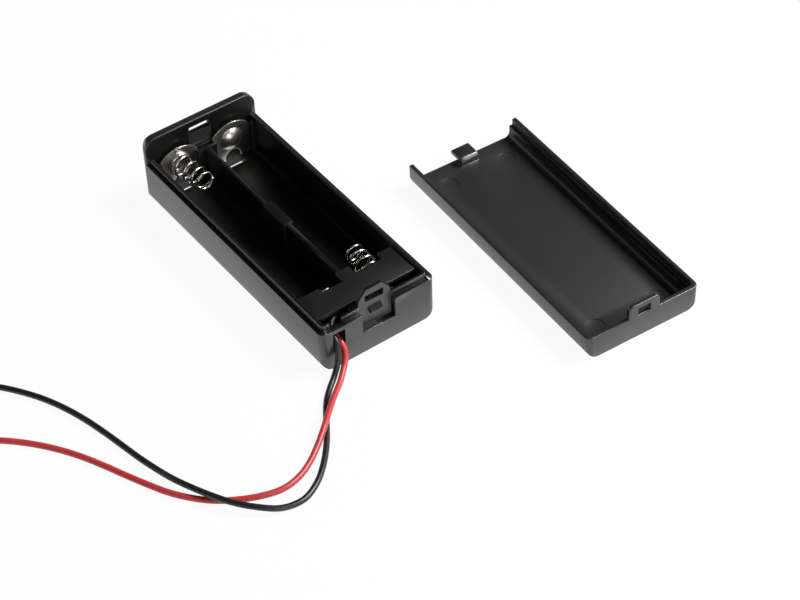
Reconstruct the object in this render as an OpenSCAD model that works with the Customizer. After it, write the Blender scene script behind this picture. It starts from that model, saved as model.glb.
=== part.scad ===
// Two-cell case for AAA cells, with a slide switch, two leads and a clip-on cover.
// The cover is off and lies upside down beside the case.
// The origin is the centre of the case's underside. +Y points to the raised far end, +Z up.

/* [Cells] */
// Diameter of one cell
cell_d = 10.5; // [10.3:0.1:11]
// How much wider a bay is than the cell
cell_play = 1.1; // [1:0.1:2]
// Gap between the cell and the bay floor
cell_lift = 0.35; // [0.2:0.05:0.6]

/* [Case] */
// Length of the bays, from the partition to the raised wall
bay_l = 54.3; // [52:0.5:60]
// Length of the switch chamber
chamber_l = 7.6; // [7.4:0.1:9]
// Thickness of the partition between the chamber and the bays
partition_t = 1; // [0.8:0.1:1.4]
// Thickness of the divider between the bays
divider_t = 1.2; // [0.8:0.1:1.6]
// Thickness of the case floor
floor_t = 2.6; // [2.4:0.1:3.2]
// Height of the outer walls, up to the ledge that the cover stands on
ledge_z = 10.7; // [10.7:0.1:12]
// Width of that ledge
ledge_w = 1.1; // [1:0.1:1.3]
// Thickness of the inner lip
lip_t = 0.7; // [0.6:0.1:1]
// Height of the lip above the ledge
lip_h = 0.8; // [0.5:0.1:1]
// Height of the raised far wall
end_z = 16.8; // [16.8:0.1:18]
// Thickness of the raised far wall
end_t = 1.8; // [1.6:0.1:2.4]
// Radius along the long bottom edges and at the top corners of the raised wall
edge_r = 3; // [2:0.1:3.4]
// Radius of the upright corners
corner_r = 1.5; // [1:0.1:1.7]

/* [Latch] */
// Width of the notch for the cover's tongue
notch_w = 8; // [7:0.1:9]
// Depth of the notch below the ledge
notch_h = 4.5; // [4:0.1:5]
// How far the notch goes into the near wall
notch_d = 1.5; // [1.5:0.1:1.6]
// Height of the latch arch above the ledge
arch_h = 4.2; // [3.6:0.1:4.2]
// Thickness of the latch wall behind the notch
latch_t = 0.9; // [0.7:0.1:1]
// Width of the catch wedge
catch_w = 3; // [2:0.1:3]
// How far the wedge stands out of the latch wall
catch_d = 0.9; // [0.7:0.1:1]

/* [Chamber plate] */
// Thickness of the plate over the switch chamber
plate_t = 1; // [0.8:0.1:1.2]
// How far the plate's top lies above the ledge
plate_rise = 0.3; // [0.1:0.1:0.5]
// Gap round the plate
plate_gap = 0.1; // [0.05:0.05:0.2]

/* [Cover] */
// Height of the cover's side walls, plate included
cover_h = 5.8; // [5.8:0.1:6]
// Thickness of the cover's plate
cover_t = 1.4; // [1.2:0.1:1.4]
// Height of the rebate inside the cover's rim
rebate_h = 1.5; // [1.2:0.1:2]
// Gap between the cover and the raised wall when it is closed
cover_gap = 0.2; // [0.1:0.05:0.4]
// Height of the tongue beyond the rim
tongue_h = 3.2; // [3:0.1:3.6]
// Thickness of the tongue
tongue_t = 1; // [0.8:0.1:1.1]
// Width of the hook at the far end
hook_w = 4.6; // [4:0.1:5]
// How far the hook reaches past the far edge
hook_reach = 1.4; // [1:0.1:1.5]
// Where the cover's near end lies, to the right of the case's centre line
cover_x = 43.7; // [40:0.5:60]
// Where the cover's near end lies, towards +Y from the case's near face
cover_y = -30.3; // [-34:0.5:0]
// How the cover is turned on the table, in degrees
cover_turn = -3.1; // [-10:0.1:10]

/* [Contacts] */
// Distance of the contacts' centre lines from the case's centre line
contact_x = 6.7; // [6.5:0.1:7]
// Thickness of the contact sheet
sheet_t = 0.35; // [0.25:0.05:0.4]
// Width of a contact plate
contact_w = 9.4; // [8.6:0.1:9.6]
// Thickness of the spring wire
spring_wire_d = 0.6; // [0.5:0.05:0.7]
// Radius of a spring's first coil
spring_base_r = 2.6; // [2.4:0.1:2.9]
// Radius of a spring's last coil
spring_tip_r = 1.8; // [1.6:0.1:2.2]
// Length of the bridge's spring
bridge_spring_l = 9.4; // [7:0.1:11]
// Length of the negative contact's spring
negative_spring_l = 7.6; // [6:0.1:9]

/* [Switch] */
// Distance of the switch from the case's centre line
switch_x = 1.4; // [1.2:0.1:1.8]
// Length of the switch's metal frame
frame_l = 8.6; // [8.4:0.1:9]
// Width of the frame
frame_w = 4; // [3.8:0.1:4.2]
// Height of the frame
frame_h = 3.4; // [3.2:0.1:3.6]
// Travel of the slider
travel = 2; // [1.5:0.1:2]
// Distance between the terminals
terminal_pitch = 2.5; // [2.3:0.1:2.54]
// Depth of the finger recess in the underside
recess_h = 1.2; // [1:0.1:1.4]

/* [Leads] */
// Outer diameter of the leads' insulation
lead_d = 1.3; // [1:0.1:1.4]
// Diameter of the tinned strands
strand_d = 0.6; // [0.4:0.1:0.8]
// Length of the bare tinned ends
bare_l = 5; // [3:0.5:8]

/* [Hidden] */
$fn = 48;

// Colours
black_plastic = [0.07, 0.07, 0.075];
nickel = [0.78, 0.77, 0.74];
brown_board = [0.35, 0.2, 0.1];
red_pvc = [0.75, 0.16, 0.13];
black_pvc = [0.05, 0.05, 0.055];

// The case's outline, from its inner sizes
eps = 0.5;
bay_w = cell_d + cell_play;
wall_t = ledge_w + lip_t;
inner_w = 2 * bay_w + divider_t;
case_w = inner_w + 2 * wall_t;
case_l = wall_t + chamber_l + partition_t + bay_l + end_t;
near_y = -case_l / 2;
chamber_y = near_y + wall_t;
partition_y = chamber_y + chamber_l;
bay_y = partition_y + partition_t;
end_y = bay_y + bay_l;
far_y = end_y + end_t;
lip_z = ledge_z + lip_h;
inner_r = max(edge_r - wall_t, 0.4);
cell_z = floor_t + cell_lift + cell_d / 2;

// The chamber plate
plate_top_z = ledge_z + plate_rise;
plate_z = plate_top_z - plate_t;
plate_front = 2.2;
plate_w = inner_w - 2 * plate_gap;

// Divider, pillar and post between the bays
divider_z = ledge_z - 0.8;
pillar_w = 4.8;
pillar_l = 2.2;
post_w = 2.4;
post_l = 8;
post_y = 2.5;

// Contact sheets and their seats
seat_t = 0.75;
slot_gap = 0.15;
lobe_r = 6;
lobe_top = cell_z + 4.4;
bridge_y = end_y - seat_t - slot_gap - sheet_t;
near_sheet_y = bay_y + 0.05;
dome_r = 2.8;
dome_h = 1.3;
near_dome_r = 2.2;
near_dome_z = cell_z - 0.8;
strap_z = floor_t + 0.8;
strap_h = 3;
window_w = 4.6;
window_l = 2;
tag_w = 2;
tag_l = 2.6;
tag_z = 7.4;
tag_slot_gap = 0.2;
// The positive contact's tag is bent out beside its dome
positive_tag_x = -contact_x - near_dome_r - tag_w / 2;

// Wire window in the near wall
wire_x = -9.75;
wire_w = 2.9;
wire_z = 4.3;
wire_h = 5;
bridge_bar_z = wire_z + wire_h + 0.9;

// Slot for the hook in the raised wall, from the closed cover's place
closed_z = ledge_z + cover_h;
hook_t = 0.9;
hook_z = cover_t + 1;
hook_slot_low = closed_z - hook_z - hook_t - 0.2;
hook_slot_h = 2.3;

// The switch
switch_y = chamber_y + chamber_l / 2 + 0.2;
switch_z = floor_t;
can_t = 0.3;
board_h = 0.8;
board_z = switch_z + frame_h - board_h;
play = 0.1;
knob_l = 2;
knob_w = 1.6;
slide_l = 4.6;
slide_h = 1.4;
slide_z = switch_z + can_t + play;
wiper_t = 0.15;
knob_z = 0.4;
terminal_t = 0.5;
terminal_w = 0.9;
terminal_foot = 0.2;
terminal_top = 8.4;
recess_gap = 1;

// Cover
cover_l = end_y - near_y - cover_gap;
rim_t = ledge_w - 0.1;
tongue_w = notch_w - 0.3;

// Leads: each route runs from its solder tag out of the window and over the table
red_route = [
    [-9.9, -25.6, 7.3], [-9.8, -27, 6.9], [-9.5, -28.4, 6.6], [-9.3, -29.8, 6.4], [-9.1, -31.3, 6.1],
    [-9.1, -32.8, 5.6], [-9.2, -34, 4.5], [-9.8, -35, 3.3], [-11.2, -36.3, 2.3], [-13.6, -38.4, 1.7],
    [-16.9, -41, 1.8], [-20.4, -44.1, 2.1], [-23.4, -46.8, 2.1], [-26.7, -49.3, 1.4], [-30, -51.4, 0.8],
    [-33.6, -53.1, 0.7], [-37.6, -53.8, 0.7], [-41.7, -52.9, 0.7], [-45.8, -51, 0.7], [-49.7, -48.4, 0.7],
    [-53, -45, 0.7], [-55.8, -41, 0.7], [-58, -36.6, 0.7], [-60, -32.2, 0.7], [-61.8, -28, 0.7],
    [-64.2, -23, 0.7], [-67.1, -18.2, 0.7], [-70.5, -13.8, 0.7], [-74.4, -9.8, 0.7], [-78.7, -6.3, 0.7],
    [-83.3, -3.2, 0.7], [-88.2, -0.6, 0.7], [-93.3, 1.6, 0.7], [-98.5, 3.5, 0.7], [-103.8, 5.1, 0.7],
    [-109.2, 6.4, 0.7], [-114.7, 7.4, 0.7]
];
black_route = [
    [-1.7, -27.4, 7.8], [-3.3, -27.4, 8], [-5, -27.6, 8.2], [-6.7, -28, 8.4], [-8.3, -28.8, 8.5],
    [-9.6, -30.1, 8.3], [-10.3, -31.6, 7.7], [-10.4, -33, 6.8], [-10.7, -34, 5.5], [-11.3, -34.7, 4],
    [-12.3, -35.4, 2.4], [-13.8, -36.4, 1.2], [-15.8, -37.9, 0.8], [-18, -40, 0.7], [-20.2, -42.9, 0.7],
    [-22.3, -46.1, 0.7], [-24.9, -49.7, 0.7], [-28.1, -53.3, 0.7], [-31.9, -56.5, 0.7], [-36.2, -58.4, 0.7],
    [-40.8, -57.9, 1], [-44.8, -55.3, 1.7], [-48.2, -51.5, 2.1], [-50.6, -47.3, 2.2], [-52.4, -43.2, 2.1],
    [-53.6, -39.1, 1.5], [-54.4, -35, 0.9], [-55.4, -30.4, 0.7], [-56.3, -25.6, 0.7], [-57.3, -20.4, 0.7],
    [-58.5, -15.2, 0.7], [-60.1, -10.1, 0.7], [-62.2, -5.2, 0.7], [-64.9, -0.6, 0.7], [-68.1, 3.7, 0.7],
    [-71.8, 7.6, 0.7], [-75.9, 11, 0.7], [-80.4, 13.9, 0.7], [-85.1, 16.3, 0.7]
];
jumper_route = [
    [1.4, -26.5, 7.8], [1.7, -25.9, 7.9], [2.4, -25.3, 8], [3.4, -24.9, 7.9], [4.5, -24.8, 7.7],
    [5.5, -24.8, 7.6]
];

// ---- Shared shapes ----

// A box by its lowest corner and its size
module slab(corner, size) {
    translate(corner) cube(size);
}

// Extrudes an X-Z outline along +Y, from y over length l
module along_y(y, l) {
    translate([0, y + l, 0]) rotate([90, 0, 0]) linear_extrude(l) children();
}

// A U-shaped section: square on top, with round corners of radius r below
module tray_outline(w, low, high, r) {
    translate([-w / 2, low + r]) square([w, high - low - r]);
    translate([-w / 2 + r, low]) square([w - 2 * r, r + 0.01]);
    for (side = [-1, 1]) translate([side * (w / 2 - r), low + r]) circle(r);
}

// A rectangle with four round corners, from y to y + l
module round_outline(w, y, l, r) {
    translate([-w / 2 + r, y]) square([w - 2 * r, l]);
    translate([-w / 2, y + r]) square([w, l - 2 * r]);
    for (sx = [-1, 1], sy = [0, 1])
        translate([sx * (w / 2 - r), y + r + sy * (l - 2 * r)]) circle(r);
}

// Joins a list of tube sections into one polyhedron with flat ends
module swept_tube(rings, sides) {
    count = len(rings);
    points = [for (ring = rings) each ring];
    walls = [for (i = [0:count - 2], k = [0:sides - 1])
        let (a = i * sides + k, b = i * sides + (k + 1) % sides)
        each [[a, b, b + sides], [a, b + sides, a + sides]]];
    ends = [[for (k = [sides - 1:-1:0]) k], [for (k = [0:sides - 1]) (count - 1) * sides + k]];
    polyhedron(points = points, faces = concat(walls, ends), convexity = 10);
}

function unit(v) = v / norm(v);
function tangent_at(path, i) =
    unit(path[min(i + 1, len(path) - 1)] - path[max(i - 1, 0)]);
// A ring of points round the path, level with the table
function ring_at(path, i, r, sides) =
    let (t = tangent_at(path, i), u = unit(cross(t, [0, 0, 1])), v = cross(u, t))
    [for (k = [0:sides - 1]) path[i] + r * (cos(360 * k / sides) * u + sin(360 * k / sides) * v)];
function tube_rings(path, r, sides) = [for (i = [0:len(path) - 1]) ring_at(path, i, r, sides)];

module lead(route, colour) {
    color(colour) swept_tube(tube_rings(route, lead_d / 2, 8), 8);
}

module bare_end(route) {
    tip = route[len(route) - 1];
    way = tangent_at(route, len(route) - 1);
    color(nickel) swept_tube(tube_rings([tip, tip + bare_l * way], strand_d / 2, 8), 8);
}

// ---- Case ----

module outer_shell() {
    intersection() {
        union() {
            along_y(near_y, case_l) tray_outline(case_w, 0, ledge_z, edge_r);
            along_y(end_y, end_t) {
                tray_outline(case_w, 0, end_z - edge_r, edge_r);
                translate([0, end_z]) mirror([0, 1]) tray_outline(case_w, 0, edge_r + 1, edge_r);
            }
        }
        linear_extrude(end_z + 1) round_outline(case_w, near_y, case_l, corner_r);
    }
}

module lip() {
    lip_w = case_w - 2 * ledge_w;
    translate([0, 0, ledge_z - eps]) linear_extrude(lip_h + eps) intersection() {
        round_outline(lip_w, near_y + ledge_w, case_l, corner_r - ledge_w / 2);
        translate([-case_w, near_y]) square([2 * case_w, end_y - near_y + eps]);
    }
}

// The latch wall stands behind the notch and ends in an arch above the lip
module latch_wall() {
    foot_w = notch_w + 2;
    top_z = ledge_z + arch_h;
    along_y(near_y + notch_d, latch_t) polygon([
        [-foot_w / 2, floor_t - eps], [foot_w / 2, floor_t - eps], [foot_w / 2, lip_z],
        [notch_w / 2, lip_z], [notch_w / 2 - 0.2, lip_z + 1.3],
        [notch_w / 4, top_z], [-notch_w / 4, top_z],
        [-notch_w / 2 + 0.2, lip_z + 1.3], [-notch_w / 2, lip_z], [-foot_w / 2, lip_z]
    ]);
}

// The wedge's upper side slopes, its underside catches the tongue's window
module catch_wedge() {
    low = ledge_z - 1.9;
    high = ledge_z - 0.3;
    face_y = near_y + notch_d;
    translate([-catch_w / 2, 0, 0]) rotate([90, 0, 90]) linear_extrude(catch_w)
        polygon([[face_y + 0.3, low], [face_y - catch_d, low], [face_y - catch_d, low + 0.4],
                 [face_y, high], [face_y + 0.3, high]]);
}

// Divider, pillar, post, partition and the seats behind the contacts
module inner_walls() {
    slab([-inner_w / 2 - 0.1, partition_y, floor_t - eps], [inner_w + 0.2, partition_t, plate_z - floor_t + eps]);
    along_y(partition_y, end_y - partition_y + eps) {
        translate([-divider_t / 2, floor_t - eps]) square([divider_t, divider_z - floor_t - divider_t / 2 + eps]);
        translate([0, divider_z - divider_t / 2]) circle(divider_t / 2);
    }
    slab([-post_w / 2, post_y - post_l / 2, floor_t - eps], [post_w, post_l, divider_z - floor_t + eps]);
    slab([-pillar_w / 2, end_y - pillar_l, floor_t - eps], [pillar_w, pillar_l + eps, divider_z - floor_t + eps]);
    for (side = [-1, 1])
        slab([side * contact_x - 3.4, end_y - seat_t, floor_t - eps], [6.8, seat_t + eps, 6.4 + eps]);
}

// Ribs at the side walls hold the outer edge of each far contact
module contact_ribs() {
    rib_y = bridge_y - slot_gap - 0.8;
    for (side = [-1, 1])
        slab([side * (inner_w / 2 - 0.35) - 0.45, rib_y, floor_t - eps], [0.9, 0.8, 8.4 + eps]);
}

// Posts that carry the front of the chamber plate, and ribs that hold the switch
module chamber_ribs() {
    for (side = [-1, 1])
        slab([side * (inner_w / 2 - 0.4) - 0.5, chamber_y + plate_front + 0.6, floor_t - eps],
             [1, 2, plate_z - floor_t + eps]);
    for (side = [-1, 1])
        slab([switch_x + side * (frame_l / 2 + play + 0.4) - 0.4, switch_y - frame_w / 2, floor_t - eps],
             [0.8, frame_w, 3 + eps]);
}

// Everything that is cut out of the case's inner walls and near wall
module case_cuts() {
    slab([-notch_w / 2, near_y - eps, ledge_z - notch_h], [notch_w, notch_d + eps, notch_h + eps]);
    slab([-notch_w / 2, near_y - eps, ledge_z - 0.01], [notch_w, notch_d + eps, lip_h + 0.02]);
}

module wire_window() {
    slab([wire_x - wire_w / 2, near_y - eps, wire_z], [wire_w, wall_t + 2 * eps, wire_h]);
    slab([wire_x - wire_w / 2, near_y - eps, bridge_bar_z], [wire_w, wall_t + 2 * eps, lip_z]);
}

module latch_window() {
    slab([-notch_w * 0.28, near_y + notch_d - eps, ledge_z + 1], [notch_w * 0.56, latch_t + 2 * eps, 1.7]);
}

module strap_slot() {
    slab([-pillar_w / 2 - eps, bridge_y - slot_gap, floor_t],
         [pillar_w + 2 * eps, sheet_t + 2 * slot_gap, divider_z]);
}

module tag_slots() {
    for (x = [positive_tag_x, contact_x])
        slab([x - tag_w / 2 - tag_slot_gap, partition_y - eps, tag_z - tag_slot_gap],
             [tag_w + 2 * tag_slot_gap, partition_t + 2 * eps, plate_z]);
}

// Windows through the floor under the contacts' feet
module floor_windows() {
    for (side = [-1, 1]) {
        slab([side * contact_x - window_w / 2, bridge_y - 0.4 - window_l, -eps], [window_w, window_l, floor_t + 2 * eps]);
        slab([side * contact_x - window_w / 2, near_sheet_y + sheet_t + 0.3, -eps],
             [window_w, window_l, floor_t + 2 * eps]);
    }
}

module hook_slot() {
    slot_w = hook_w + 0.5;
    slab([-slot_w / 2, end_y - eps, hook_slot_low], [slot_w, end_t + 2 * eps, hook_slot_h]);
    slab([-slot_w / 2 - 0.5, end_y - eps, divider_z], [slot_w + 1, eps + 0.4, hook_slot_low + hook_slot_h - divider_z + 0.2]);
}

// The finger recess, and the slot that the knob passes through
module switch_recess() {
    recess_l = knob_l + travel + 2 * recess_gap;
    recess_w = knob_w + 2 * recess_gap;
    slab([switch_x - recess_l / 2, switch_y - recess_w / 2, -eps], [recess_l, recess_w, recess_h + eps]);
    slab([switch_x - (knob_l + travel) / 2 - 0.3, switch_y - knob_w / 2 - 0.3, -eps],
         [knob_l + travel + 0.6, knob_w + 0.6, floor_t + 2 * eps]);
}

module case_base() {
    color(black_plastic) difference() {
        union() {
            difference() {
                union() {
                    outer_shell();
                    lip();
                }
                along_y(chamber_y, end_y - chamber_y) tray_outline(inner_w, floor_t, end_z + 1, inner_r);
                case_cuts();
            }
            latch_wall();
            catch_wedge();
            inner_walls();
            contact_ribs();
            chamber_ribs();
        }
        wire_window();
        latch_window();
        strap_slot();
        tag_slots();
        floor_windows();
        hook_slot();
        switch_recess();
    }
}

// ---- Cover, upside down, with its near end at y = 0 ----

module cover_shell() {
    difference() {
        intersection() {
            along_y(0, cover_l) tray_outline(case_w, 0, cover_h, edge_r);
            linear_extrude(cover_h) union() {
                round_outline(case_w, 0, 20, corner_r);
                translate([-case_w / 2, corner_r]) square([case_w, cover_l - corner_r]);
            }
        }
        along_y(wall_t, cover_l) tray_outline(inner_w, cover_t, cover_h + 1, inner_r);
        translate([0, 0, cover_h - rebate_h]) linear_extrude(rebate_h + 1)
            round_outline(case_w - 2 * rim_t, rim_t, cover_l + 10, corner_r - rim_t / 2);
    }
}

module tongue() {
    corner = 1;
    low = cover_h - 1;
    high = cover_h + tongue_h;
    difference() {
        along_y(0, tongue_t) {
            translate([-tongue_w / 2, low]) square([tongue_w, high - low - corner]);
            translate([-tongue_w / 2 + corner, low]) square([tongue_w - 2 * corner, high - low]);
            for (side = [-1, 1]) translate([side * (tongue_w / 2 - corner), high - corner]) circle(corner);
        }
        slab([-catch_w / 2 - 0.1, -eps, cover_h + 0.1], [catch_w + 0.2, tongue_t + 2 * eps, 1.95]);
    }
}

module hook() {
    slab([-hook_w / 2, cover_l - 2.8, cover_t - eps], [hook_w, 1.2, hook_z - cover_t + eps + 0.1]);
    slab([-hook_w / 2, cover_l - 2.8, hook_z], [hook_w, 2.8 + hook_reach, hook_t]);
}

// Beads on the side walls click under the case's lip, and gussets stiffen the tongue
module cover_ribs() {
    bead_z = cover_h - rebate_h - 0.4;
    for (side = [-1, 1], y = [4, cover_l - 8.5])
        translate([side * (inner_w / 2), y, bead_z]) rotate([-90, 0, 0]) cylinder(h = 4.5, r = 0.3, $fn = 24);
    for (side = [-1, 1])
        translate([side * (tongue_w / 2 + 0.9) - 0.35, 0, 0]) rotate([90, 0, 90]) linear_extrude(0.7)
            polygon([[wall_t - 0.2, cover_t - 0.2], [wall_t + 2, cover_t - 0.2],
                     [wall_t + 2, cover_t], [wall_t, cover_t + 1.8], [wall_t - 0.2, cover_t + 1.8]]);
}

module ejector_marks() {
    for (side = [-1, 1], y = [6, cover_l - 6])
        translate([side * 7.5, y, cover_t - 0.12]) cylinder(h = 1, r = 2);
}

module cover() {
    color(black_plastic) translate([cover_x, near_y + cover_y, 0]) rotate([0, 0, cover_turn]) difference() {
        union() {
            cover_shell();
            tongue();
            hook();
            cover_ribs();
        }
        ejector_marks();
    }
}

// ---- Plate over the switch chamber ----

module chamber_plate() {
    front = chamber_y + plate_front;
    half = plate_w / 2;
    notch = contact_x - 1.6;
    color(black_plastic) translate([0, 0, plate_z]) linear_extrude(plate_t) polygon([
        [-half, front], [half, front], [half, bay_y + 2], [notch + 3.4, bay_y + 2], [notch + 3.4, bay_y],
        [1.7, bay_y], [1.7, bay_y + 2.4], [-1.7, bay_y + 2.4], [-1.7, bay_y - 0.5],
        [-contact_x - 0.1, bay_y - 0.5], [-contact_x - 0.1, bay_y + 0.8], [-half, bay_y + 0.8]
    ]);
}

// ---- Contacts ----

// Radius of the ball that a dome of base radius r is cut from
function ball_radius(r) = (r * r + dome_h * dome_h) / (2 * dome_h);

// A plate with a round top, as a pressed strip has
module lobe_outline(x) {
    intersection() {
        translate([x - contact_w / 2, floor_t + 0.1]) square([contact_w, lobe_top - floor_t]);
        translate([x, lobe_top - lobe_r]) circle(lobe_r, $fn = 64);
    }
    translate([x - contact_w / 2, floor_t + 0.1]) square([contact_w, 5]);
}

// An arch at the foot leaves two legs
module foot_arch(x) {
    translate([x, floor_t + 0.6]) circle(1.9);
    translate([x - 1.9, floor_t - 1]) square([3.8, 1.6]);
}

module bridge_plate() {
    ball_r = ball_radius(dome_r);
    color(nickel) difference() {
        union() {
            along_y(bridge_y, sheet_t) difference() {
                union() {
                    lobe_outline(-contact_x);
                    lobe_outline(contact_x);
                    translate([-contact_x, strap_z]) square([2 * contact_x, strap_h]);
                }
                foot_arch(-contact_x);
                foot_arch(contact_x);
            }
            intersection() {
                translate([contact_x, bridge_y + ball_r - dome_h, cell_z]) sphere(ball_r);
                slab([0, bridge_y - 3, 0], [2 * contact_x, 3 + sheet_t / 2, 2 * cell_z]);
            }
        }
        translate([contact_x, bridge_y + ball_r - dome_h, cell_z]) sphere(ball_r - sheet_t);
    }
}

// The near contacts stand against the partition, with a tag through it
module near_sheet(x, tag_x, top_z) {
    along_y(near_sheet_y, sheet_t) difference() {
        translate([x - contact_w / 2, floor_t + 0.1]) square([contact_w, top_z - floor_t - 0.1]);
        foot_arch(x);
    }
    slab([tag_x - tag_w / 2, partition_y - tag_l + partition_t, tag_z], [tag_w, tag_l + 0.2, sheet_t]);
}

module positive_contact() {
    ball_r = ball_radius(near_dome_r);
    face_y = near_sheet_y + sheet_t;
    color(nickel) difference() {
        union() {
            near_sheet(-contact_x, positive_tag_x, plate_z - 0.2);
            slab([-contact_x + 0.3, near_sheet_y, plate_z - 0.5], [1.6, sheet_t, 1]);
            intersection() {
                translate([-contact_x, face_y - ball_r + dome_h, near_dome_z]) sphere(ball_r);
                slab([-2 * contact_x, face_y - sheet_t / 2, 0], [2 * contact_x, 3, 2 * cell_z]);
            }
        }
        intersection() {
            translate([-contact_x, face_y - ball_r + dome_h, near_dome_z]) sphere(ball_r - sheet_t);
            slab([-2 * contact_x, near_sheet_y - 0.01, 0], [2 * contact_x, 5, 2 * cell_z]);
        }
    }
}

module negative_contact() {
    color(nickel) near_sheet(contact_x, contact_x, plate_z - 0.2);
}

// ---- Springs ----

// Where a spring's wire lies, t from 0 at the seat to 1 at the free end: the end coils are closed
function coil_rise(t, turns, wire) =
    let (a = 1 / turns, b = 1 - 1 / turns)
    t < a ? wire * t / a : t > b ? 1 - wire * (1 - t) / (1 - b) : wire + (1 - 2 * wire) * (t - a) / (b - a);
function coil_path(seat, way, l, lean, turns, steps) = [
    for (i = [0:steps])
        let (t = i / steps,
             r = spring_base_r + (spring_tip_r - spring_base_r) * t,
             s = coil_rise(t, turns, spring_wire_d / l),
             y = spring_wire_d / 2 + 0.03 + (l - spring_wire_d) * s)
        seat + [r * cos(360 * turns * t) + lean[0] * s, way * y, r * sin(360 * turns * t) + lean[1] * s]
];
function coil_ring(path, i, r, sides) =
    let (t = tangent_at(path, i), u = unit(cross(t, [0, 1, 0])), v = cross(u, t))
    [for (k = [0:sides - 1]) path[i] + r * (cos(360 * k / sides) * u + sin(360 * k / sides) * v)];

module coil_spring(seat, way, l, lean, turns) {
    steps = 16 * turns;
    path = coil_path(seat, way, l, lean, turns, steps);
    rings = [for (i = [0:steps]) coil_ring(path, i, spring_wire_d / 2, 6)];
    color(nickel) swept_tube(rings, 6);
}

module bridge_spring() {
    coil_spring([-contact_x, bridge_y, cell_z], -1, bridge_spring_l, [0.7, 0.9], 5);
}

module negative_spring() {
    coil_spring([contact_x, near_sheet_y + sheet_t, cell_z - 1.2], 1, negative_spring_l, [0, 1], 5);
}

// ---- Switch ----

module switch_frame() {
    low = [switch_x - frame_l / 2, switch_y - frame_w / 2, switch_z];
    color(nickel) difference() {
        slab(low, [frame_l, frame_w, frame_h]);
        slab(low + [can_t, can_t, can_t], [frame_l - 2 * can_t, frame_w - 2 * can_t, frame_h]);
        slab([switch_x - (knob_l + travel) / 2 - 0.2, switch_y - knob_w / 2 - 0.2, switch_z - eps],
             [knob_l + travel + 0.4, knob_w + 0.4, 2 * eps]);
    }
}

module switch_base() {
    gap = 0.05;
    l = frame_l - 2 * can_t - 2 * gap;
    w = frame_w - 2 * can_t - 2 * gap;
    color(brown_board) difference() {
        slab([switch_x - l / 2, switch_y - w / 2, board_z], [l, w, board_h]);
        for (i = [-1:1])
            slab([switch_x + i * terminal_pitch - terminal_w / 2 - gap, switch_y - terminal_t / 2 - gap, board_z - eps],
                 [terminal_w + 2 * gap, terminal_t + 2 * gap, board_h + 2 * eps]);
    }
}

// A terminal's foot is a wide pad under the board, its blade stands up through it
module terminal(i) {
    x = switch_x + i * terminal_pitch;
    color(nickel) {
        slab([x - terminal_w / 2 - 0.3, switch_y - terminal_t, board_z - terminal_foot],
             [terminal_w + 0.6, 2 * terminal_t, terminal_foot]);
        slab([x - terminal_w / 2, switch_y - terminal_t / 2, board_z - terminal_foot / 2],
             [terminal_w, terminal_t, terminal_top - board_z + terminal_foot / 2]);
    }
}

module terminal_left() {
    terminal(-1);
}

module terminal_common() {
    terminal(0);
}

module terminal_right() {
    terminal(1);
}

// The slider rests at the off end, half its travel to the right
module switch_slider() {
    x = switch_x + travel / 2;
    w = frame_w - 2 * can_t - 2 * play;
    grooves = [-0.6, 0, 0.6];
    color(black_plastic) {
        slab([x - slide_l / 2, switch_y - w / 2, slide_z], [slide_l, w, slide_h]);
        difference() {
            slab([x - knob_l / 2, switch_y - knob_w / 2, knob_z], [knob_l, knob_w, slide_z - knob_z + 0.1]);
            for (g = grooves) slab([x + g - 0.1, switch_y - knob_w, knob_z - eps], [0.2, 2 * knob_w, eps + 0.2]);
        }
    }
}

// A sprung strip on the slider bridges two terminals
module switch_wiper() {
    x = switch_x + travel / 2;
    top = board_z - terminal_foot - 0.05;
    seat = slide_z + slide_h + 0.02;
    color(nickel) translate([0, switch_y + 0.5, 0]) rotate([90, 0, 0]) linear_extrude(1) polygon([
        [x - 1.9, seat], [x + 1.9, seat], [x + 1.9, seat + wiper_t], [x + 1.5, top], [x + 0.9, top],
        [x + 0.5, seat + wiper_t], [x - 0.5, seat + wiper_t], [x - 0.9, top], [x - 1.5, top],
        [x - 1.9, seat + wiper_t]
    ]);
}

// ---- Wires ----

module jumper_wire() {
    lead(jumper_route, black_pvc);
}

module red_lead() {
    lead(red_route, red_pvc);
}

module black_lead() {
    lead(black_route, black_pvc);
}

module red_bare_end() {
    bare_end(red_route);
}

module black_bare_end() {
    bare_end(black_route);
}

case_base();
cover();
chamber_plate();
bridge_plate();
bridge_spring();
positive_contact();
negative_contact();
negative_spring();
switch_frame();
switch_base();
terminal_left();
terminal_common();
terminal_right();
switch_slider();
switch_wiper();
jumper_wire();
red_lead();
black_lead();
red_bare_end();
black_bare_end();
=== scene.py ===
import math
import bpy
from mathutils import Matrix, Vector


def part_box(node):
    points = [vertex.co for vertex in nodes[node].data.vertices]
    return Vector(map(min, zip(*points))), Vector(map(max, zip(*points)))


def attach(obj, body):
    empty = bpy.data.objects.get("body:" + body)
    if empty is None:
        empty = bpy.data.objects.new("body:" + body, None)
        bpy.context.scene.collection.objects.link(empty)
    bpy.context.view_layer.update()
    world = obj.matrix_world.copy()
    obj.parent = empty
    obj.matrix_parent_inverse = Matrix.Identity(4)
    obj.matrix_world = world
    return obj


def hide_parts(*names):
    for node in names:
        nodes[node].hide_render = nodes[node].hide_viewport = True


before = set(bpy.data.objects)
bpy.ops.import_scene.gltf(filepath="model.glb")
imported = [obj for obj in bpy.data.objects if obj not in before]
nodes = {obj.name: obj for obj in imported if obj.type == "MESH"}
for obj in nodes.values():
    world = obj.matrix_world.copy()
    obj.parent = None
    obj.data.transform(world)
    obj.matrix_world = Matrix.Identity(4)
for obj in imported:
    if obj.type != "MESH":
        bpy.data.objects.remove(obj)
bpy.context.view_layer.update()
mm = 0.001
print("frame loaded")


def deselectAll():
    for thing in list(bpy.context.selected_objects):
        thing.select_set(False)


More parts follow.
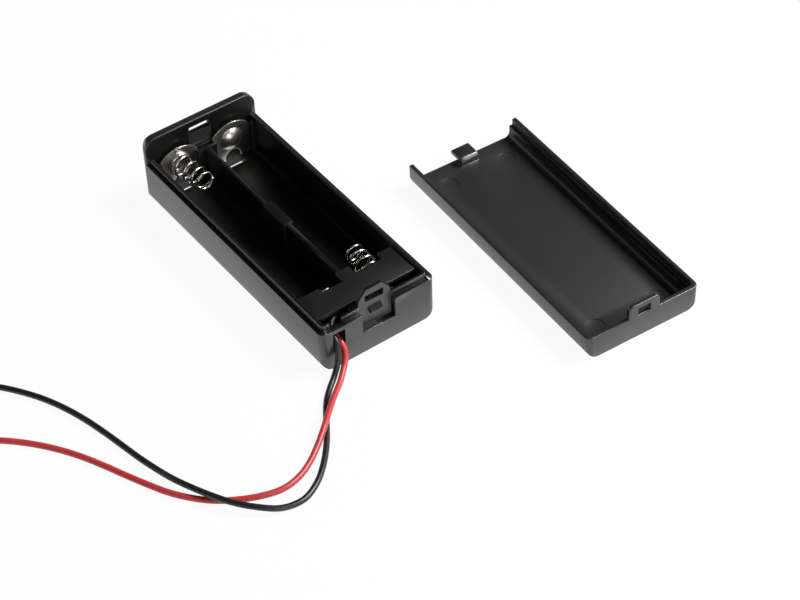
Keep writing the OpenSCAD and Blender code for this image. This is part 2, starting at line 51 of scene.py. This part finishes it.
def makeActive(thing):
    deselectAll()
    thing.select_set(True)
    bpy.context.view_layer.objects.active = thing


def editMesh(thing):
    makeActive(thing)
    bpy.ops.object.mode_set(mode="EDIT")


def leaveEdit():
    bpy.ops.object.mode_set(mode="OBJECT")


def applyAll(thing):
    makeActive(thing)
    for modifier in list(thing.modifiers):
        bpy.ops.object.modifier_apply(modifier=modifier.name)


def toLinear(code):
    # sRGB hex to linear colour
    parts = [int(code[i:i + 2], 16) / 255 for i in (1, 3, 5)]
    return [c / 12.92 if c <= 0.04045 else ((c + 0.055) / 1.055) ** 2.4 for c in parts] + [1]


def addNode(material, kind, settings=None, values=None, links=None):
    tree = material.node_tree
    node = tree.nodes.new(kind)
    for name, value in (settings or {}).items():
        setattr(node, name, value)
    for socket, value in (values or {}).items():
        node.inputs[socket].default_value = value
    for socket, source in (links or {}).items():
        tree.links.new(source, node.inputs[socket])
    return node


def grains(size):
    # a noise texture's scale for grains of this size in millimetres
    return 1 / (size * mm)


def newMaterial(name):
    material = bpy.data.materials.new(name)
    material.use_nodes = True
    material.node_tree.nodes.clear()
    return material


def finishMaterial(material, shader):
    output = addNode(material, "ShaderNodeOutputMaterial")
    material.node_tree.links.new(shader.outputs[0], output.inputs["Surface"])
    return material


camera = {
    "place": (-0.19141, -0.31499, 0.34552),
    "azimuth": -34.91,
    "elevation": 44.39,
    "roll": -2.12,
    "lens": 108,
    "sensor": 36,
    "clip": (0.01, 20),
}
cameraData = bpy.data.cameras.new("camera")
cameraData.lens = camera["lens"]
cameraData.sensor_width = camera["sensor"]
cameraData.clip_start, cameraData.clip_end = camera["clip"]
cameraObject = bpy.data.objects.new("camera", cameraData)
bpy.context.scene.collection.objects.link(cameraObject)
turn = Matrix.Rotation(math.radians(camera["azimuth"]), 4, "Z")
tip = Matrix.Rotation(math.radians(90 - camera["elevation"]), 4, "X")
roll = Matrix.Rotation(math.radians(camera["roll"]), 4, "Z")
cameraObject.matrix_world = Matrix.Translation(camera["place"]) @ turn @ tip @ roll
bpy.context.scene.camera = cameraObject
print("camera placed")


def extrudedPvc(name, colour, sheenColour):
    # soft PVC insulation, extruded: even colour, a waxy gloss with patches from handling, 6 mm across, and a
    # slight ripple from the die, 1.4 mm long
    material = newMaterial(name)
    coords = addNode(material, "ShaderNodeTexCoord")
    ripple = addNode(material, "ShaderNodeTexNoise", values={"Scale": grains(1.43), "Detail": 2},
                     links={"Vector": coords.outputs["Object"]})
    handling = addNode(material, "ShaderNodeTexNoise", values={"Scale": grains(6.25), "Detail": 3},
                       links={"Vector": coords.outputs["Object"]})
    gloss = addNode(material, "ShaderNodeMapRange", values={"To Min": 0.3, "To Max": 0.46},
                    links={"Value": handling.outputs["Fac"]})
    tint = addNode(material, "ShaderNodeMix", {"data_type": "RGBA"},
                   values={"A": toLinear(colour), "B": toLinear(sheenColour)},
                   links={"Factor": handling.outputs["Fac"]})
    bump = addNode(material, "ShaderNodeBump", values={"Strength": 0.25, "Distance": 0.03 * mm},
                   links={"Height": ripple.outputs["Fac"]})
    shader = addNode(material, "ShaderNodeBsdfPrincipled", values={"IOR": 1.53},
                     links={"Base Color": tint.outputs["Result"], "Roughness": gloss.outputs["Result"],
                            "Normal": bump.outputs["Normal"]})
    return finishMaterial(material, shader)


def tinnedCopper():
    # tinned copper strands: soft white metal with a dull coat of tin, uneven over a third of a millimetre
    material = newMaterial("tinnedCopper")
    coords = addNode(material, "ShaderNodeTexCoord")
    coat = addNode(material, "ShaderNodeTexNoise", values={"Scale": grains(0.333), "Detail": 3},
                   links={"Vector": coords.outputs["Object"]})
    gloss = addNode(material, "ShaderNodeMapRange", values={"To Min": 0.22, "To Max": 0.45},
                    links={"Value": coat.outputs["Fac"]})
    shader = addNode(material, "ShaderNodeBsdfPrincipled",
                     values={"Base Color": toLinear("#d0cdc4"), "Metallic": 1},
                     links={"Roughness": gloss.outputs["Result"]})
    return finishMaterial(material, shader)


redPvc = extrudedPvc("redPvc", "#b93336", "#c63f43")
blackPvc = extrudedPvc("blackPvc", "#161617", "#1e1e20")
strandTin = tinnedCopper()


# both leads, along the same points as their solids
leads = {
    "diameter": 1.3,
    "strand": 0.2,
    "strandFit": 0.98,
    "woundStrands": 6,
    "bareLength": 5,
    "bareGap": 0.02,
    "bareSteps": 24,
    "twistLength": 6,
    "smoothBelow": 50,
    "redExit": (-9.1, -33.3, 5.2),
    "blackExit": (-10.4, -33.3, 6.5),
    "redRoute": [
        (-9.9, -25.6, 7.3), (-9.8, -27, 6.9), (-9.5, -28.4, 6.6), (-9.3, -29.8, 6.4), (-9.1, -31.3, 6.1),
        (-9.1, -32.8, 5.6), (-9.2, -34, 4.5), (-9.8, -35, 3.3), (-11.2, -36.3, 2.3), (-13.6, -38.4, 1.7),
        (-16.9, -41, 1.8), (-20.4, -44.1, 2.1), (-23.4, -46.8, 2.1), (-26.7, -49.3, 1.4), (-30, -51.4, 0.8),
        (-33.6, -53.1, 0.7), (-37.6, -53.8, 0.7), (-41.7, -52.9, 0.7), (-45.8, -51, 0.7), (-49.7, -48.4, 0.7),
        (-53, -45, 0.7), (-55.8, -41, 0.7), (-58, -36.6, 0.7), (-60, -32.2, 0.7), (-61.8, -28, 0.7),
        (-64.2, -23, 0.7), (-67.1, -18.2, 0.7), (-70.5, -13.8, 0.7), (-74.4, -9.8, 0.7), (-78.7, -6.3, 0.7),
        (-83.3, -3.2, 0.7), (-88.2, -0.6, 0.7), (-93.3, 1.6, 0.7), (-98.5, 3.5, 0.7), (-103.8, 5.1, 0.7),
        (-109.2, 6.4, 0.7), (-114.7, 7.4, 0.7),
    ],
    "blackRoute": [
        (-1.7, -27.4, 7.8), (-3.3, -27.4, 8), (-5, -27.6, 8.2), (-6.7, -28, 8.4), (-8.3, -28.8, 8.5),
        (-9.6, -30.1, 8.3), (-10.3, -31.6, 7.7), (-10.4, -33, 6.8), (-10.7, -34, 5.5), (-11.3, -34.7, 4),
        (-12.3, -35.4, 2.4), (-13.8, -36.4, 1.2), (-15.8, -37.9, 0.8), (-18, -40, 0.7), (-20.2, -42.9, 0.7),
        (-22.3, -46.1, 0.7), (-24.9, -49.7, 0.7), (-28.1, -53.3, 0.7), (-31.9, -56.5, 0.7),
        (-36.2, -58.4, 0.7), (-40.8, -57.9, 1), (-44.8, -55.3, 1.7), (-48.2, -51.5, 2.1), (-50.6, -47.3, 2.2),
        (-52.4, -43.2, 2.1), (-53.6, -39.1, 1.5), (-54.4, -35, 0.9), (-55.4, -30.4, 0.7), (-56.3, -25.6, 0.7),
        (-57.3, -20.4, 0.7), (-58.5, -15.2, 0.7), (-60.1, -10.1, 0.7), (-62.2, -5.2, 0.7), (-64.9, -0.6, 0.7),
        (-68.1, 3.7, 0.7), (-71.8, 7.6, 0.7), (-75.9, 11, 0.7), (-80.4, 13.9, 0.7), (-85.1, 16.3, 0.7),
    ],
}


def smoothPath(points, steps):
    # a curve through every point, with even turns between them
    points = [Vector(p) for p in points]
    ends = [2 * points[0] - points[1]] + points + [2 * points[-1] - points[-2]]
    path = []
    for a, b, c, d in zip(ends, ends[1:], ends[2:], ends[3:]):
        for i in range(steps):
            t = i / steps
            path.append(0.5 * (2 * b + (c - a) * t + (2 * a - 5 * b + 4 * c - d) * t * t
                               + (3 * b - a - 3 * c + d) * t ** 3))
    return path + [points[-1]]


def wireCurve(name, path, radius, sides):
    # a round wire along a path in millimetres; sides is the bevel's resolution
    curve = bpy.data.curves.new(name, "CURVE")
    curve.dimensions = "3D"
    spline = curve.splines.new("POLY")
    spline.points.add(len(path) - 1)
    for point, place in zip(spline.points, path):
        point.co = (*(Vector(place) * mm), 1)
    curve.bevel_depth = radius * mm
    curve.bevel_resolution = sides
    curve.use_fill_caps = True
    wire = bpy.data.objects.new(name, curve)
    bpy.context.scene.collection.objects.link(wire)
    return wire


def makeBareEnd(name, route, cadNode):
    # one straight strand in the middle, and the others wound round it
    last, before = Vector(route[-1]), Vector(route[-2])
    way = (last - before).normalized()
    side = way.cross(Vector((0, 0, 1))).normalized()
    up = side.cross(way)
    wound, steps = leads["woundStrands"], leads["bareSteps"]
    strands = []
    for k in range(wound + 1):
        path = []
        for i in range(steps + 1):
            along = leads["bareLength"] * i / steps
            angle = math.tau * (k / wound + along / leads["twistLength"])
            out = 0 if k == wound else leads["strand"]
            across = out * (math.cos(angle) * side + math.sin(angle) * up)
            path.append(last + way * (along + leads["bareGap"]) + across)
        strands.append(wireCurve(name, path, leads["strand"] / 2 * leads["strandFit"], sides=2))
    deselectAll()
    for strand in strands:
        strand.select_set(True)
    bpy.context.view_layer.objects.active = strands[0]
    bpy.ops.object.convert(target="MESH")
    bpy.ops.object.join()
    bundle = bpy.context.view_layer.objects.active
    bundle.name = name
    makeActive(bundle)
    bpy.ops.object.shade_smooth_by_angle(angle=math.radians(leads["smoothBelow"]))
    bundle.data.materials.clear()
    bundle.data.materials.append(strandTin)
    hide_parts(cadNode)
    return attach(bundle, "case")


def makeLead(name, route, pvc, cadNode, bareNode):
    path = smoothPath(route, steps=4)
    lead = wireCurve(name, path, leads["diameter"] / 2, sides=4)
    lead.data.materials.append(pvc)
    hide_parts(cadNode)
    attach(lead, "case")
    end = makeBareEnd(name + "Strands", route, bareNode)


makeLead("redLead", leads["redRoute"], redPvc, "red_lead", "red_bare_end")
makeLead("blackLead", leads["blackRoute"], blackPvc, "black_lead",
         "black_bare_end")
print("leads laid")


def sparkErodedAbs():
    # black ABS moulded against a spark-eroded tool: a fine even grain that turns a bright floor into soft
    # grey, with faint flow clouds a centimetre across
    material = newMaterial("sparkErodedAbs")
    coords = addNode(material, "ShaderNodeTexCoord")
    # grain of about 0.08 mm, drawn at 0.25 mm so that it shows
    grain = addNode(material, "ShaderNodeTexNoise", values={"Scale": grains(0.25), "Detail": 2},
                    links={"Vector": coords.outputs["Object"]})
    cloud = addNode(material, "ShaderNodeTexNoise", values={"Scale": grains(11.1), "Detail": 4},
                    links={"Vector": coords.outputs["Object"]})
    gloss = addNode(material, "ShaderNodeMapRange", values={"To Min": 0.3, "To Max": 0.38},
                    links={"Value": cloud.outputs["Fac"]})
    tint = addNode(material, "ShaderNodeMix", {"data_type": "RGBA"},
                   values={"A": toLinear("#1e1e1f"), "B": toLinear("#252525")},
                   links={"Factor": cloud.outputs["Fac"]})
    bump = addNode(material, "ShaderNodeBump", values={"Strength": 0.3, "Distance": 0.015 * mm},
                   links={"Height": grain.outputs["Fac"]})
    shader = addNode(material, "ShaderNodeBsdfPrincipled", values={"IOR": 1.78},
                     links={"Base Color": tint.outputs["Result"], "Roughness": gloss.outputs["Result"],
                            "Normal": bump.outputs["Normal"]})
    return finishMaterial(material, shader)


def polishedAbs(name, colour, low, high, index):
    # black ABS moulded against a plain milled tool: smoother, with faint rubs and tool marks that run along
    # the case. The marks of 0.1 mm are drawn at 0.45 mm so that they show. The colour is given per copy and
    # carries painted light and shade: a darker copy for the interior, where shade falls, is painted shade,
    # and a lighter copy for the cover's plate is painted light
    material = newMaterial(name)
    coords = addNode(material, "ShaderNodeTexCoord")
    stretch = addNode(material, "ShaderNodeMapping", values={"Scale": (1, 0.12, 1)},
                      links={"Vector": coords.outputs["Object"]})
    marks = addNode(material, "ShaderNodeTexNoise", values={"Scale": grains(0.455), "Detail": 2},
                    links={"Vector": stretch.outputs["Vector"]})
    cloud = addNode(material, "ShaderNodeTexNoise", values={"Scale": grains(8.33), "Detail": 4},
                    links={"Vector": coords.outputs["Object"]})
    gloss = addNode(material, "ShaderNodeMapRange", values={"To Min": low, "To Max": high},
                    links={"Value": cloud.outputs["Fac"]})
    bump = addNode(material, "ShaderNodeBump", values={"Strength": 0.12, "Distance": 0.01 * mm},
                   links={"Height": marks.outputs["Fac"]})
    shader = addNode(material, "ShaderNodeBsdfPrincipled",
                     values={"Base Color": toLinear(colour), "IOR": index},
                     links={"Roughness": gloss.outputs["Result"], "Normal": bump.outputs["Normal"]})
    return finishMaterial(material, shader)


def nickelPlate(name, colour, low, high, relief):
    # bright nickel on rolled steel: a warm white mirror with rolling lines 0.08 mm apart and a little haze
    material = newMaterial(name)
    coords = addNode(material, "ShaderNodeTexCoord")
    stretch = addNode(material, "ShaderNodeMapping", values={"Scale": (1, 1, 14)},
                      links={"Vector": coords.outputs["Object"]})
    lines = addNode(material, "ShaderNodeTexNoise", values={"Scale": grains(1.11), "Detail": 2},
                    links={"Vector": stretch.outputs["Vector"]})
    haze = addNode(material, "ShaderNodeTexNoise", values={"Scale": grains(2), "Detail": 3},
                   links={"Vector": coords.outputs["Object"]})
    gloss = addNode(material, "ShaderNodeMapRange", values={"To Min": low, "To Max": high},
                    links={"Value": haze.outputs["Fac"]})
    bump = addNode(material, "ShaderNodeBump", values={"Strength": relief, "Distance": 0.01 * mm},
                   links={"Height": lines.outputs["Fac"]})
    shader = addNode(material, "ShaderNodeBsdfPrincipled",
                     values={"Base Color": toLinear(colour), "Metallic": 1},
                     links={"Roughness": gloss.outputs["Result"], "Normal": bump.outputs["Normal"]})
    return finishMaterial(material, shader)


def phenolicBoard():
    # paper board bonded with phenolic resin: brown, with paper fibres about 0.7 mm long under a dull gloss
    material = newMaterial("phenolicBoard")
    coords = addNode(material, "ShaderNodeTexCoord")
    stretch = addNode(material, "ShaderNodeMapping", values={"Scale": (1, 5, 1)},
                      links={"Vector": coords.outputs["Object"]})
    fibres = addNode(material, "ShaderNodeTexNoise", values={"Scale": grains(0.667), "Detail": 4},
                     links={"Vector": stretch.outputs["Vector"]})
    tint = addNode(material, "ShaderNodeMix", {"data_type": "RGBA"},
                   values={"A": toLinear("#4c2e17"), "B": toLinear("#6a4322")},
                   links={"Factor": fibres.outputs["Fac"]})
    shader = addNode(material, "ShaderNodeBsdfPrincipled", values={"Roughness": 0.5, "IOR": 1.55},
                     links={"Base Color": tint.outputs["Result"]})
    return finishMaterial(material, shader)


def acetal():
    # black acetal slider: slightly waxy, with the finest of grains, drawn at 0.25 mm so that it shows
    material = newMaterial("blackAcetal")
    coords = addNode(material, "ShaderNodeTexCoord")
    grain = addNode(material, "ShaderNodeTexNoise", values={"Scale": grains(0.25), "Detail": 2},
                    links={"Vector": coords.outputs["Object"]})
    gloss = addNode(material, "ShaderNodeMapRange", values={"To Min": 0.4, "To Max": 0.55},
                    links={"Value": grain.outputs["Fac"]})
    bump = addNode(material, "ShaderNodeBump", values={"Strength": 0.2, "Distance": 0.015 * mm},
                   links={"Height": grain.outputs["Fac"]})
    shader = addNode(material, "ShaderNodeBsdfPrincipled",
                     values={"Base Color": toLinear("#19191a"), "IOR": 1.48},
                     links={"Roughness": gloss.outputs["Result"], "Normal": bump.outputs["Normal"]})
    return finishMaterial(material, shader)


texturedAbs = sparkErodedAbs()
# painted shade: a darker copy of the black ABS for the case's interior, its ledges and the notch's floor, and
# the cover's inner walls
shadedInnerAbs = polishedAbs("milledAbsPaintedShade", "#0b0b0b", 0.42, 0.5, 1.36)
plateAbs = polishedAbs("plateAbs", "#141415", 0.4, 0.5, 1.5)
# painted light: a lighter copy of the black ABS for the cover's plate, which faces up into the light
satinAbsPaintedLight = polishedAbs("satinAbsPaintedLight", "#2b2b2c", 0.38, 0.46, 1.5)
nickelSheet = nickelPlate("nickelPlatedSheet", "#d3cfc8", 0.26, 0.34, 0.06)
nickelWire = nickelPlate("nickelPlatedWire", "#dddad5", 0.2, 0.26, 0.01)
board = phenolicBoard()
sliderBlack = acetal()
print("materials made")


# moulded and pressed pieces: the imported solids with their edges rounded
rounding = {
    "mergeWithin": 0.001,
    "sharpFrom": 32,
    "smoothBelow": 40,
    # width of the rounded edges
    "case": 0.16,
    "cover": 0.16,
    "plate": 0.12,
    "sheet": 0.06,
    "switch": 0.05,
    "slider": 0.1,
}


def selectBox(piece, low, high):
    # in edit mode: the vertices inside the box and nothing else
    bpy.ops.mesh.select_all(action="DESELECT")
    leaveEdit()
    for vertex in piece.data.vertices:
        vertex.select = all(a < c / mm < b for a, c, b in zip(low, vertex.co, high))
    editMesh(piece)


def roundedCopy(nodeName, pieceName, edge, body="case", segments=2, share=None, nudges=(), chamfers=()):
    piece = bpy.data.objects.new(pieceName, nodes[nodeName].data.copy())
    bpy.context.scene.collection.objects.link(piece)
    piece.data.materials.clear()
    editMesh(piece)
    bpy.ops.mesh.select_mode(type="VERT")
    bpy.ops.mesh.select_all(action="SELECT")
    bpy.ops.mesh.remove_doubles(threshold=rounding["mergeWithin"] * mm)
    for low, high, shift in nudges:
        selectBox(piece, low, high)
        bpy.ops.transform.translate(value=Vector(shift) * mm)
    for low, high, width in chamfers:
        selectBox(piece, low, high)
        bpy.ops.mesh.bevel(offset=width * mm, segments=1, affect="EDGES")
    bpy.ops.mesh.select_mode(type="EDGE")
    bpy.ops.mesh.select_all(action="DESELECT")
    bpy.ops.mesh.edges_select_sharp(sharpness=math.radians(rounding["sharpFrom"]))
    leaveEdit()
    weights = piece.data.attributes.new("bevel_weight_edge", "FLOAT", "EDGE")
    for line in piece.data.edges:
        start, end = (piece.data.vertices[i].co / mm for i in line.vertices)
        roundness = share((start + end) / 2, (end - start).length) if share else 1
        weights.data[line.index].value = roundness if line.select else 0
    bevel = piece.modifiers.new("edge", "BEVEL")
    bevel.width = edge * mm
    bevel.segments = segments
    bevel.limit_method = "WEIGHT"
    bevel.use_clamp_overlap = False
    bevel.loop_slide = False
    applyAll(piece)
    makeActive(piece)
    bpy.ops.object.shade_smooth_by_angle(angle=math.radians(rounding["smoothBelow"]))
    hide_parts(nodeName)
    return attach(piece, body)


def dress(piece, finishes, pick=None):
    # pick gives the number of each face's finish
    piece.data.materials.clear()
    for finish in finishes:
        piece.data.materials.append(finish)
    if pick:
        for face in piece.data.polygons:
            face.material_index = int(pick(face.center / mm, face.normal))


def bothSides(low, high, shift):
    # the same shift at the left and at the right
    return [(low, high, shift), ((-high[0], *low[1:]), (-low[0], *high[1:]), shift)]


shell = {
    # how far inside the case's box the faces of the outer walls, the lip and the latch lie at most
    "skin": 0.5,
    "lipReach": 1.4,
    "latchReach": 1.6,
    "lipFrom": 10.75,
    "latchHalf": 4,
    "farWall": 31.4,
    # the divider's round top, where it meets the post and the pillar
    "dividerHalf": 0.65,
    "dividerTop": 9.1,
    # height of the ledge's outer edge
    "ledge": (6, 11),
    "raisedTop": 15.5,
    # the hook's slot, the ledge and the notch at the latch are a little lower than in the solid, and the far
    # windows reach under their contacts: lowest corner, highest corner, shift
    "nudges": [
        *bothSides((12.8, -34, 10.6), (14.1, 31.4, 10.8), (0, 0, -0.4)),
        ((-12.8, -34, 10.6), (12.8, -32.1, 10.8), (0, 0, -0.4)),
        ((-4.1, -34, 6.1), (4.1, -31.7, 6.3), (0, 0, -0.7)),
        ((-3.5, 31.2, 15.1), (3.5, 40, 15.8), (0, 0, -0.35)),
        *bothSides((4.2, 29.7, -0.1), (9.2, 29.9, 2.7), (0, 1, 0)),
        *bothSides((4.2, 27.7, -0.1), (9.2, 27.9, 2.7), (0, 0.2, 0)),
    ],
}
cover = {
    # the plate with its fillets, and the inner faces above it, which lie this far inside the cover's box
    "plateBelow": 2.2,
    "innerFrom": 1.3,
    "sideWall": 0.5,
    # height of the ejector marks' edges, their longest facet, and their least distance from the outer walls
    "marks": (1.2, 1.45),
    "markFacet": 0.4,
    "marksInside": 4,
    # the hook's top edge is cut off at the front: lowest corner, highest corner, width
    "chamfers": [((44, -3, 3.2), (50, -1, 3.4), 0.7)],
}
caseLow, caseHigh = [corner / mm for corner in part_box("case_base")]
coverLow, coverHigh = [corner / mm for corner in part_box("cover")]


def onOutside(place, normal):
    # outer walls with their rounded corners, the top of the raised wall, and the lip's and the latch's faces
    out = max(abs(place.x) - caseHigh.x, place.y - caseHigh.y, caseLow.y - place.y, -place.z)
    # sideways or downwards, also on a rounded edge
    facing = abs(normal.x) + abs(normal.y) > 0.25 or normal.z < -0.2
    # away from the middle of the case
    outwards = place.x * normal.x > 3 or place.y * normal.y > 8
    onWall = out > -shell["skin"] and facing
    onTop = place.z > caseHigh.z - shell["skin"]
    onLip = place.z > shell["lipFrom"] and outwards and out > -shell["lipReach"]
    onLatch = abs(place.x) < shell["latchHalf"] and normal.y < -0.9 and out > -shell["latchReach"]
    return onWall or onTop or onLip or onLatch


def insideCover(place, normal):
    # outside 0, the plate as seen from the open side 1, which gets the lighter copy as painted light, the
    # walls' inner faces 2, which get the darker copy as painted shade
    if normal.z > 0.9 and place.z < cover["plateBelow"]:
        return 1
    inward = (coverLow.x + coverHigh.x) / 2 - place.x
    inner = inward * normal.x > 2 and abs(inward) < (coverHigh.x - coverLow.x) / 2 - cover["sideWall"]
    return 2 if inner and place.z > cover["innerFrom"] else 0


def caseRoundness(middle, length):
    # outer edges full, the ledge's outer edge and the inner edges crisper; the short facets where the
    # divider's round top runs into the post and the pillar stay sharp
    if abs(middle.x) < shell["dividerHalf"] and middle.z > shell["dividerTop"] and length < 0.3:
        return 0
    deep = min(caseHigh.x - abs(middle.x), caseHigh.y - abs(middle.y))
    lowest, highest = shell["ledge"]
    if deep < 0.5 and middle.y < shell["farWall"] and lowest < middle.z < highest:
        return 0.3
    return 0.5 if deep > 0.6 and middle.z < shell["raisedTop"] else 1


def coverRoundness(middle, length):
    # the edges of the shallow ejector marks stay faint
    inward = min(middle.x - coverLow.x, coverHigh.x - middle.x, middle.y - coverLow.y, coverHigh.y - middle.y)
    lowest, highest = cover["marks"]
    onMark = lowest < middle.z < highest and length < cover["markFacet"] and inward > cover["marksInside"]
    return 0.2 if onMark else 1


caseBody = roundedCopy("case_base", "caseBody", rounding["case"], share=caseRoundness, nudges=shell["nudges"])
# every face not on the outside (the interior, the ledges and the notch's floor) gets the darker copy: painted
# shade
dress(caseBody, [shadedInnerAbs, texturedAbs], onOutside)
coverBody = roundedCopy("cover", "coverBody", rounding["cover"], share=coverRoundness,
                        chamfers=cover["chamfers"])
# the cover's plate gets the lighter copy (painted light) and its inner walls get the darker copy (painted
# shade)
dress(coverBody, [texturedAbs, satinAbsPaintedLight, shadedInnerAbs], insideCover)
chamberPlate = roundedCopy("chamber_plate", "chamberPlate", rounding["plate"])
dress(chamberPlate, [plateAbs])
for nodeName, pieceName in (("bridge_plate", "bridgeContact"), ("positive_contact", "positiveContact"),
                            ("negative_contact", "negativeContact")):
    contact = roundedCopy(nodeName, pieceName, rounding["sheet"])
    dress(contact, [nickelSheet])
for nodeName, pieceName in (("switch_frame", "switchCan"), ("terminal_left", "leftTerminal"),
                            ("terminal_common", "commonTerminal"), ("terminal_right", "rightTerminal")):
    metal = roundedCopy(nodeName, pieceName, rounding["switch"])
    dress(metal, [nickelSheet])
slider = roundedCopy("switch_slider", "sliderKnob", rounding["slider"], "slider")
dress(slider, [sliderBlack])
dress(nodes["switch_wiper"], [nickelSheet])
dress(nodes["switch_base"], [board])
print("mouldings and contacts dressed")

# the springs are wound along the same line as their solids, in smooth round wire
springs = {
    "wire": 0.52,
    "seatRadius": 2.6,
    "tipRadius": 1.9,
    "turns": 5,
    "stepsPerTurn": 90,
    "smoothBelow": 50,
    "seatGap": 0.03,
    # seat, way along Y, length, lean of the free end to X and Z
    "farSpring": ((-6.7, 30.2, 8.2), -1, 9.4, (0.7, 0.9)),
    "nearSpring": ((6.7, -22.45, 7.0), 1, 7.6, (0, 1)),
}


def coilRise(t, turns, closed):
    # the first and the last coil lie nearly flat
    first, last = 1 / turns, 1 - 1 / turns
    if t < first:
        return closed * t / first
    if t > last:
        return 1 - closed * (1 - t) / (1 - last)
    return closed + (1 - 2 * closed) * (t - first) / (last - first)


def makeSpring(name, cadNode):
    seat, way, length, lean = springs[name]
    wire, turns = springs["wire"], springs["turns"]
    steps = springs["stepsPerTurn"] * turns
    path = []
    for i in range(steps + 1):
        t = i / steps
        rise = coilRise(t, turns, wire / length)
        radius = springs["seatRadius"] + (springs["tipRadius"] - springs["seatRadius"]) * t
        angle = math.tau * turns * t
        along = wire / 2 + springs["seatGap"] + (length - wire) * rise
        path.append((seat[0] + radius * math.cos(angle) + lean[0] * rise, seat[1] + way * along,
                     seat[2] + radius * math.sin(angle) + lean[1] * rise))
    spring = wireCurve(name, path, wire / 2, sides=5)
    makeActive(spring)
    bpy.ops.object.convert(target="MESH")
    spring = bpy.context.view_layer.objects.active
    bpy.ops.object.shade_smooth_by_angle(angle=math.radians(springs["smoothBelow"]))
    spring.data.materials.clear()
    spring.data.materials.append(nickelWire)
    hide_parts(cadNode)
    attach(spring, "case")


makeSpring("farSpring", "bridge_spring")
makeSpring("nearSpring", "negative_spring")

jumper = {
    "route": [(1.4, -26.5, 7.8), (1.7, -25.9, 7.9), (2.4, -25.3, 8), (3.4, -24.9, 7.9), (4.5, -24.8, 7.7),
              (5.5, -24.8, 7.6)],
    "diameter": 1.3,
}
jumperPath = smoothPath(jumper["route"], steps=4)
jumperWire = wireCurve("jumperWire", jumperPath, jumper["diameter"] / 2, sides=4)
jumperWire.data.materials.append(blackPvc)
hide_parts("jumper_wire")
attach(jumperWire, "case")
print("springs wound")


def paleFloor():
    # seamless white sweep: looks white to the camera and in gloss, and keeps the object's soft shadow
    material = newMaterial("paleFloor")
    rays = addNode(material, "ShaderNodeLightPath")
    seen = addNode(material, "ShaderNodeMath", {"operation": "MULTIPLY"}, values={1: studio["floorGlow"]},
                   links={0: rays.outputs["Is Camera Ray"]})
    mirrored = addNode(material, "ShaderNodeMath", {"operation": "MAXIMUM"},
                       links={0: rays.outputs["Is Glossy Ray"], 1: rays.outputs["Is Transmission Ray"]})
    share = addNode(material, "ShaderNodeMath", {"operation": "MAXIMUM"},
                    links={0: seen.outputs[0], 1: mirrored.outputs[0]})
    paper = addNode(material, "ShaderNodeBsdfDiffuse", values={"Color": toLinear(studio["paper"])})
    white = addNode(material, "ShaderNodeEmission", values={"Color": toLinear("#ffffff"), "Strength": 1})
    mixed = addNode(material, "ShaderNodeMixShader",
                    links={0: share.outputs[0], 1: paper.outputs[0], 2: white.outputs[0]})
    # from below the sweep is left out, so that the underside can be looked at
    clear = addNode(material, "ShaderNodeBsdfTransparent")
    side = addNode(material, "ShaderNodeNewGeometry")
    oneSided = addNode(material, "ShaderNodeMixShader",
                       links={0: side.outputs["Backfacing"], 1: mixed.outputs[0], 2: clear.outputs[0]})
    return finishMaterial(material, oneSided)


studio = {
    "floorSize": 6,
    "floorDrop": 0.05,
    "floorGlow": 0.94,
    "paper": "#f4f4f4",
    "horizonLevel": 1.0,
    "zenithLevel": 0.02,
    "bandTop": 0.3,
    "aim": (0.02, -0.01, 0),
    "lamps": [
        # name, place, size, power
        ("keySoftbox", (0.66, -0.3, 0.76), 0.4, 14),
        ("frontPanel", (-0.15, -0.95, 0.28), 0.4, 2),
        ("rightPanel", (0.41, -0.68, 0.57), 0.3, 1.4),
        ("leftPanel", (-0.58, 0.8, 0.16), 0.5, 1.5),
    ],
}
deselectAll()
bpy.ops.mesh.primitive_plane_add(size=studio["floorSize"], location=(0, 0, -studio["floorDrop"] * mm))
floor = bpy.context.active_object
floor.name = "floor"
floor.data.materials.append(paleFloor())
for name, place, size, power in studio["lamps"]:
    lampData = bpy.data.lights.new(name, "AREA")
    lampData.size = size
    lampData.energy = power
    lamp = bpy.data.objects.new(name, lampData)
    bpy.context.scene.collection.objects.link(lamp)
    lamp.location = place
    lamp.rotation_euler = (Vector(studio["aim"]) - Vector(place)).to_track_quat("-Z", "Y").to_euler()

# a light tent that is open above: white round the horizon, dark overhead
world = bpy.data.worlds.new("lightTent")
bpy.context.scene.world = world
world.use_nodes = True
sky = addNode(world, "ShaderNodeTexCoord")
height = addNode(world, "ShaderNodeSeparateXYZ", links={"Vector": sky.outputs["Generated"]})
level = addNode(world, "ShaderNodeMapRange", {"interpolation_type": "SMOOTHSTEP"},
                values={"From Min": 0, "From Max": studio["bandTop"], "To Min": studio["horizonLevel"],
                        "To Max": studio["zenithLevel"]},
                links={"Value": height.outputs["Z"]})
world.node_tree.links.new(level.outputs["Result"], world.node_tree.nodes["Background"].inputs["Strength"])
world.node_tree.nodes["Background"].inputs["Color"].default_value = toLinear("#ffffff")
bpy.context.scene.view_settings.view_transform = "Standard"
print("studio lit")
